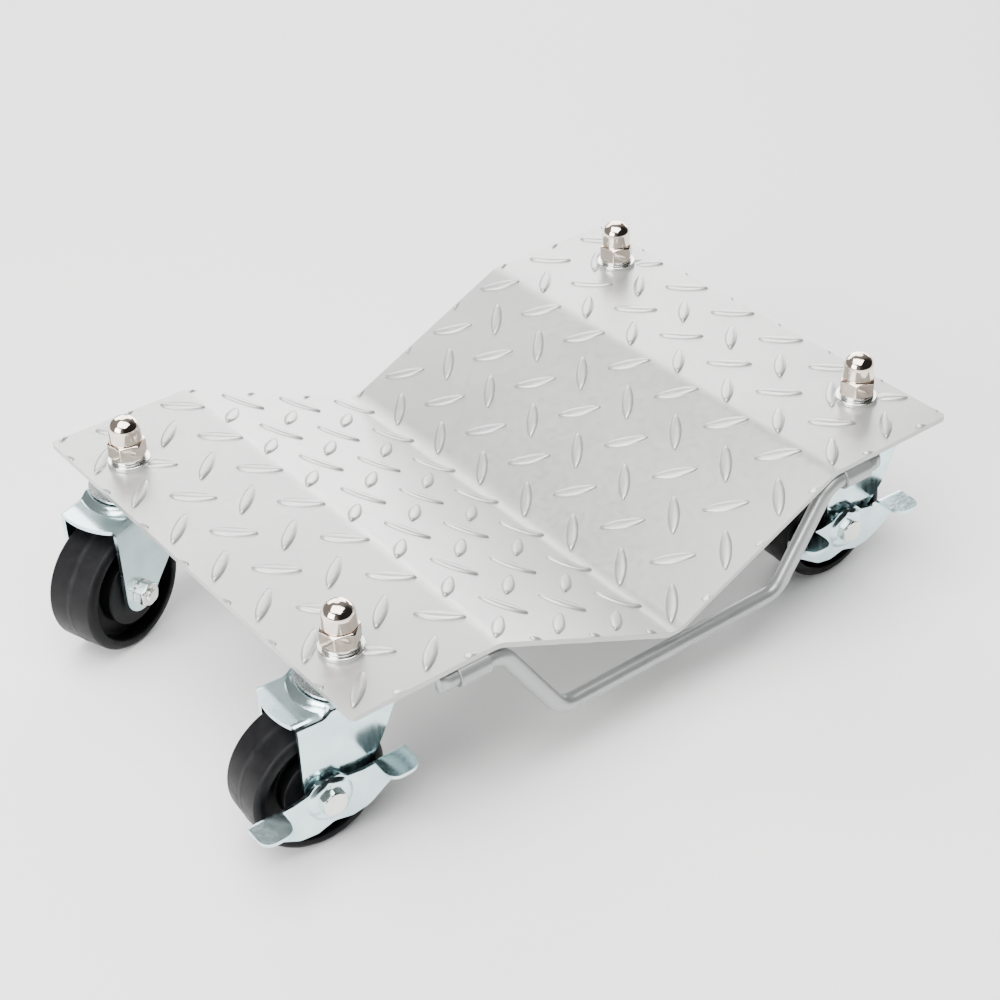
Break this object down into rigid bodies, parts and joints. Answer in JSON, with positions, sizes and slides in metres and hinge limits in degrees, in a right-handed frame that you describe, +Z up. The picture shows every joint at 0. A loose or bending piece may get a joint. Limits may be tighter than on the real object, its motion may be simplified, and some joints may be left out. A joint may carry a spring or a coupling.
{
  "type": "wheel dolly",
  "caption": "Low rolling dolly with a folded tread-plate deck whose V seat cradles a vehicle tyre, on bolted swivel casters, some with brake levers, and a drop handle",
  "frame": {"origin": "on the floor under the middle of the deck", "axes": "+Z up, +X along the deck's longer side, the handle's long edge faces -Y"},
  "size_m": [0.4604, 0.3083, 0.1325],
  "materials": {
    "deck_paint": "satin light grey paint on steel tread plate",
    "handle_paint": "satin silver-grey paint on bent steel rod",
    "nickel": "polished nickel plating",
    "zinc": "bright zinc plating on turned steel",
    "zinc_sheet": "bright zinc plating with a faint blue cast on pressed sheet",
    "ball_steel": "polished hardened steel",
    "wheel_rubber": "moulded black hard rubber, faintly dusty"
  },
  "bodies": {
    "deck": {"deck_plate": "deck_paint", "handle_strap_left": "handle_paint", "handle_strap_right": "handle_paint", "cap_nut_near_left": "nickel", "spring_washer_near_left": "zinc", "flat_washer_near_left": "zinc", "king_bolt_near_left": "zinc", "top_race_near_left": "zinc", "lower_race_near_left": "zinc", "cap_nut_near_right": "nickel", "spring_washer_near_right": "zinc", "flat_washer_near_right": "zinc", "king_bolt_near_right": "zinc", "top_race_near_right": "zinc", "lower_race_near_right": "zinc", "cap_nut_far_left": "nickel", "spring_washer_far_left": "zinc", "flat_washer_far_left": "zinc", "king_bolt_far_left": "zinc", "top_race_far_left": "zinc", "lower_race_far_left": "zinc", "cap_nut_far_right": "nickel", "spring_washer_far_right": "zinc", "flat_washer_far_right": "zinc", "king_bolt_far_right": "zinc", "top_race_far_right": "zinc", "lower_race_far_right": "zinc"},
    "handle": {"handle": "handle_paint"},
    "caster_near_left": {"fork_near_left": "zinc_sheet", "upper_balls_near_left": "ball_steel", "lower_balls_near_left": "ball_steel", "axle_sleeve_near_left": "zinc", "axle_bolt_near_left": "zinc", "axle_nut_near_left": "zinc"},
    "wheel_near_left": {"wheel_near_left": "wheel_rubber"},
    "brake_near_left": {"brake_lever_near_left": "zinc_sheet"},
    "caster_near_right": {"fork_near_right": "zinc_sheet", "upper_balls_near_right": "ball_steel", "lower_balls_near_right": "ball_steel", "axle_sleeve_near_right": "zinc", "axle_bolt_near_right": "zinc", "axle_nut_near_right": "zinc"},
    "wheel_near_right": {"wheel_near_right": "wheel_rubber"},
    "brake_near_right": {"brake_lever_near_right": "zinc_sheet"},
    "caster_far_left": {"fork_far_left": "zinc_sheet", "upper_balls_far_left": "ball_steel", "lower_balls_far_left": "ball_steel", "axle_sleeve_far_left": "zinc", "axle_bolt_far_left": "zinc", "axle_nut_far_left": "zinc"},
    "wheel_far_left": {"wheel_far_left": "wheel_rubber"},
    "caster_far_right": {"fork_far_right": "zinc_sheet", "upper_balls_far_right": "ball_steel", "lower_balls_far_right": "ball_steel", "axle_sleeve_far_right": "zinc", "axle_bolt_far_right": "zinc", "axle_nut_far_right": "zinc"},
    "wheel_far_right": {"wheel_far_right": "wheel_rubber"}
  },
  "joints": [
    {"name": "handle_swing", "type": "hinge", "parent": "deck", "child": "handle", "pos_m": [0, -0.1495, 0.0942], "axis": [-1, 0, 0], "range_deg": [-20, 70]},
    {"name": "swivel_near_left", "type": "hinge", "parent": "deck", "child": "caster_near_left", "pos_m": [-0.17775, -0.1065, 0.09], "axis": [0, 0, 1], "continuous": true},
    {"name": "roll_near_left", "type": "hinge", "parent": "caster_near_left", "child": "wheel_near_left", "pos_m": [-0.20421, -0.10497, 0.0375], "axis": [-0.0576, -0.9983, 0], "continuous": true},
    {"name": "brake_near_left", "type": "hinge", "parent": "caster_near_left", "child": "brake_near_left", "pos_m": [-0.20421, -0.10497, 0.0375], "axis": [-0.0576, -0.9983, 0], "range_deg": [-16, 8]},
    {"name": "swivel_near_right", "type": "hinge", "parent": "deck", "child": "caster_near_right", "pos_m": [0.17775, -0.1065, 0.09], "axis": [0, 0, 1], "continuous": true},
    {"name": "roll_near_right", "type": "hinge", "parent": "caster_near_right", "child": "wheel_near_right", "pos_m": [0.15125, -0.10622, 0.0375], "axis": [-0.0105, -0.9999, 0], "continuous": true},
    {"name": "brake_near_right", "type": "hinge", "parent": "caster_near_right", "child": "brake_near_right", "pos_m": [0.15125, -0.10622, 0.0375], "axis": [-0.0105, -0.9999, 0], "range_deg": [-9, 15]},
    {"name": "swivel_far_left", "type": "hinge", "parent": "deck", "child": "caster_far_left", "pos_m": [-0.17775, 0.1065, 0.09], "axis": [0, 0, 1], "continuous": true},
    {"name": "roll_far_left", "type": "hinge", "parent": "caster_far_left", "child": "wheel_far_left", "pos_m": [-0.2026, 0.09731, 0.0375], "axis": [0.3469, -0.9379, 0], "continuous": true},
    {"name": "swivel_far_right", "type": "hinge", "parent": "deck", "child": "caster_far_right", "pos_m": [0.17775, 0.1065, 0.09], "axis": [0, 0, 1], "continuous": true},
    {"name": "roll_far_right", "type": "hinge", "parent": "caster_far_right", "child": "wheel_far_right", "pos_m": [0.15151, 0.10281, 0.0375], "axis": [0.1392, -0.9903, 0], "continuous": true}
  ]
}
